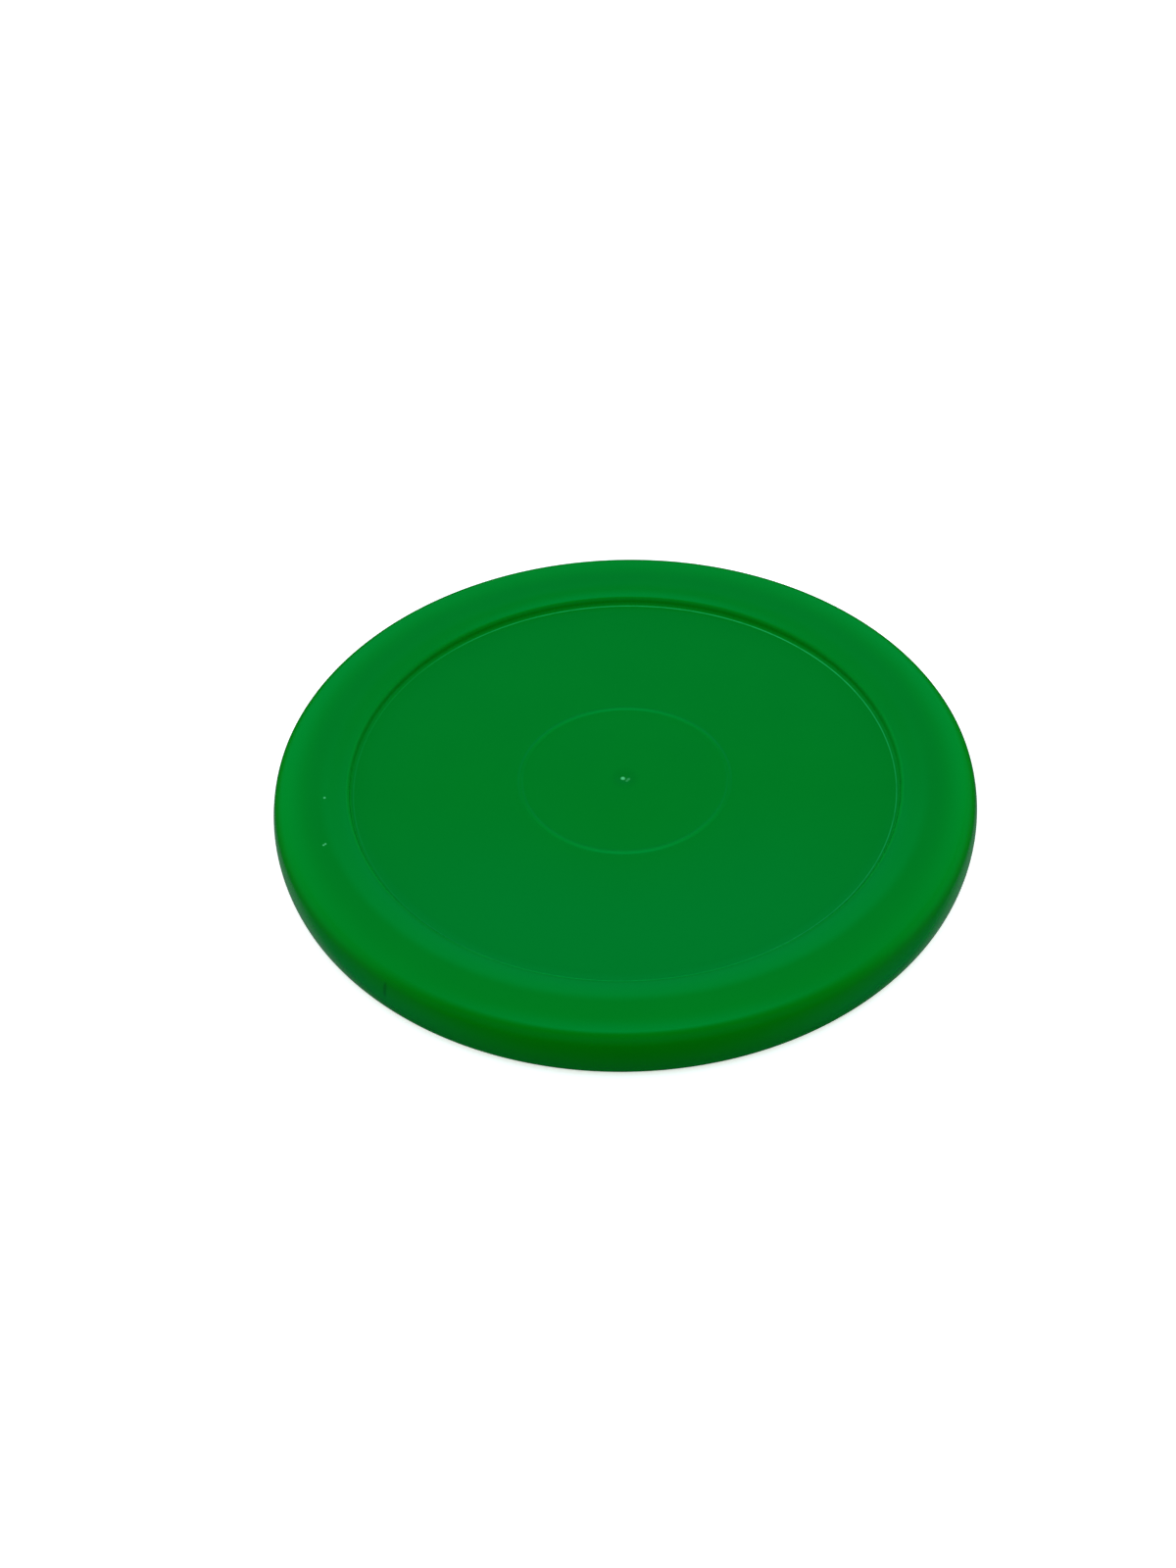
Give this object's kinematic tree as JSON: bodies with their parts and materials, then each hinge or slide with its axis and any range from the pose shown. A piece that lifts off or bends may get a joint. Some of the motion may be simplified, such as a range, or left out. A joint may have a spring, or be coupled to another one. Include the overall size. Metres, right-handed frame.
{
  "type": "air hockey puck",
  "caption": "Flat round plastic puck with a raised, rounded rim around a shallow recess in each face, made to glide on a cushion of air.",
  "frame": {"origin": "centre of the plane that the underside's rim rests on, on the puck's axis", "axes": "+Z along the puck's axis, out of the face with the gate mark; X and Y lie in the resting plane and are alike, because the puck is round"},
  "size_m": [0.0824, 0.0824, 0.0065],
  "materials": {
    "green_plastic": "satin, as moulded"
  },
  "bodies": {
    "root": {"puck": "green_plastic"}
  },
  "joints": []
}
